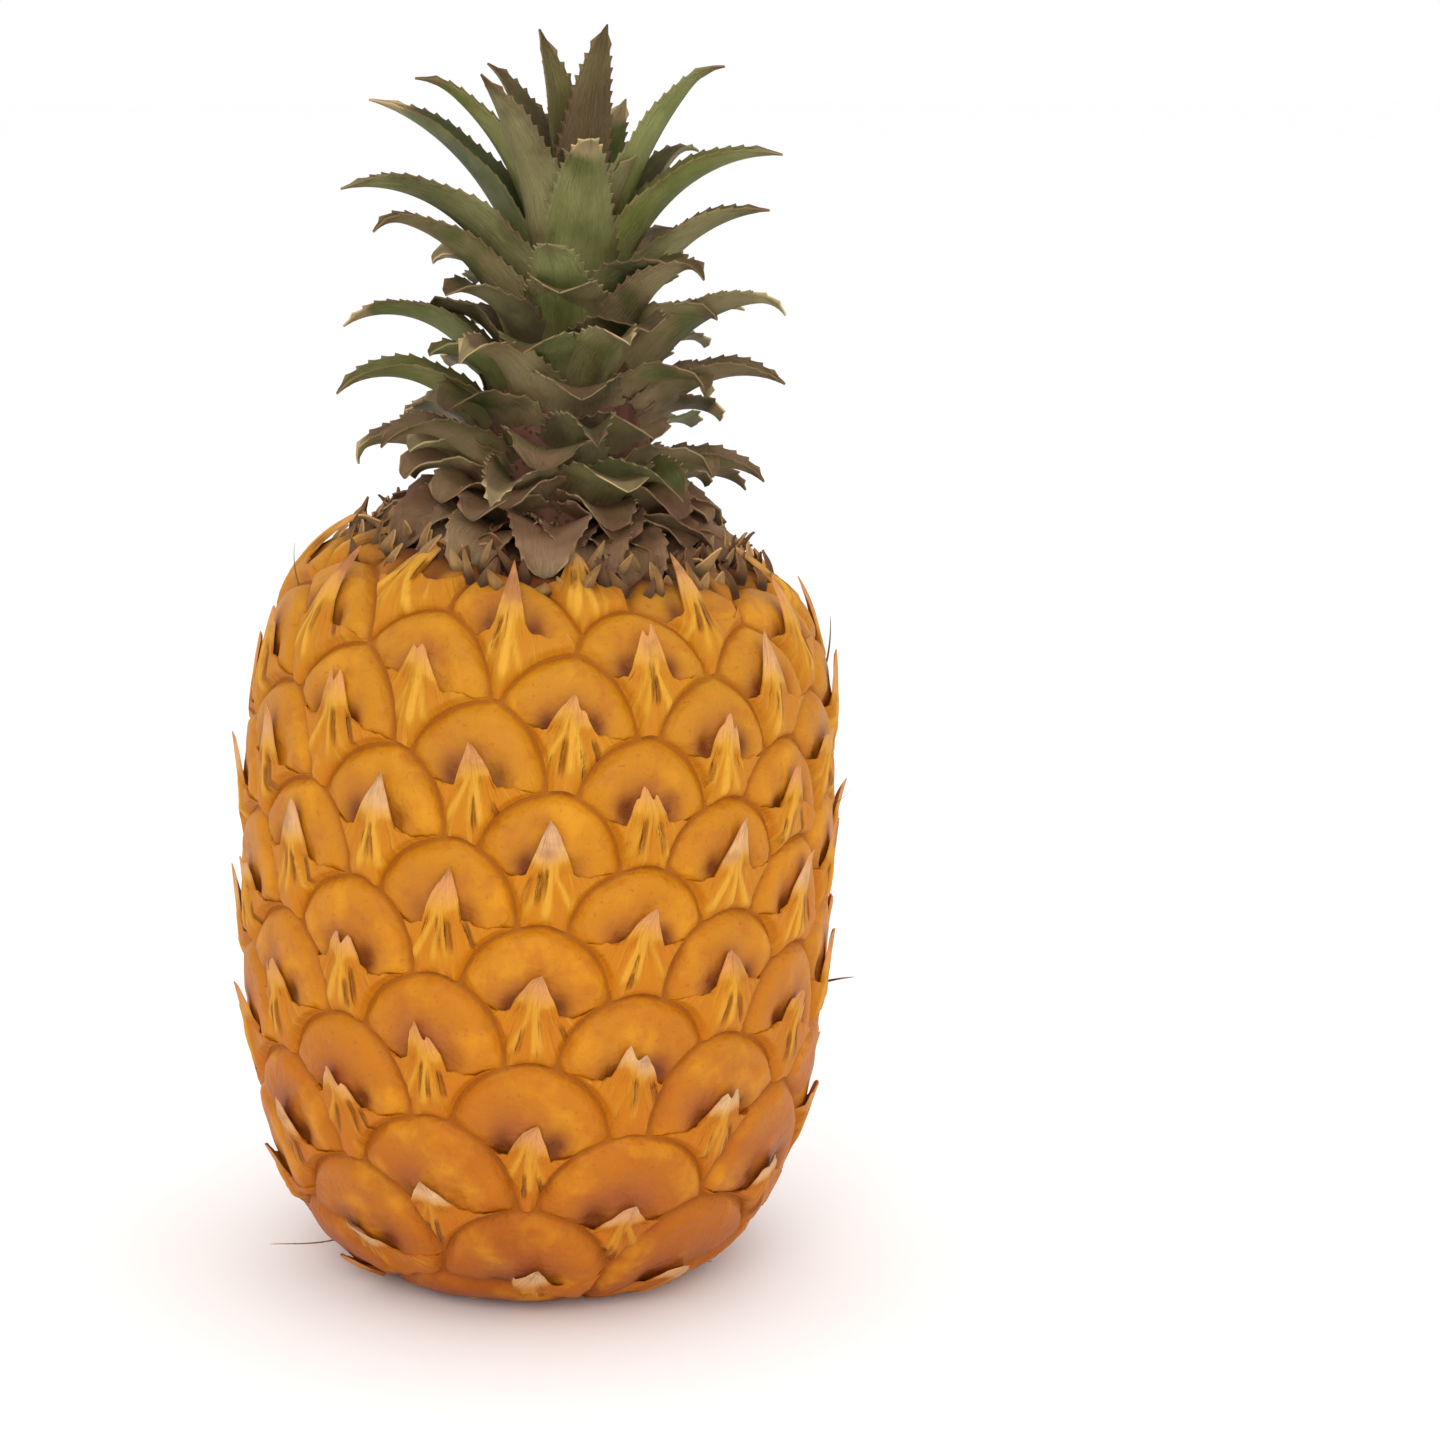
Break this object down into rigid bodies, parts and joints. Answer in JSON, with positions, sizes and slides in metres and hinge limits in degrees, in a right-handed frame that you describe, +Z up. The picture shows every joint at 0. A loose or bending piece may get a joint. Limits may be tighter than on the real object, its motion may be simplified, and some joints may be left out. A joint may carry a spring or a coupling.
{
  "type": "whole pineapple",
  "caption": "Whole ripe pineapple standing on its base: barrel-shaped fruit covered in spiral eyes with bract tips, and a crown of short spiny-edged leaves.",
  "frame": {"origin": "middle of the base, on the surface the fruit stands on", "axes": "+Z up through the crown; -Y is the front; +X to the right seen from the front"},
  "size_m": [0.1229, 0.1222, 0.2488],
  "materials": {
    "rind": "waxy orange rind with dry brown grooves and pale bract tips",
    "leaf": "matt grey-green leaf with brown toothed edges",
    "cut_stalk": "dry cut fibrous stalk end"
  },
  "bodies": {
    "root": {"fruit": "rind", "crown": "leaf", "stalk": "cut_stalk"}
  },
  "joints": []
}
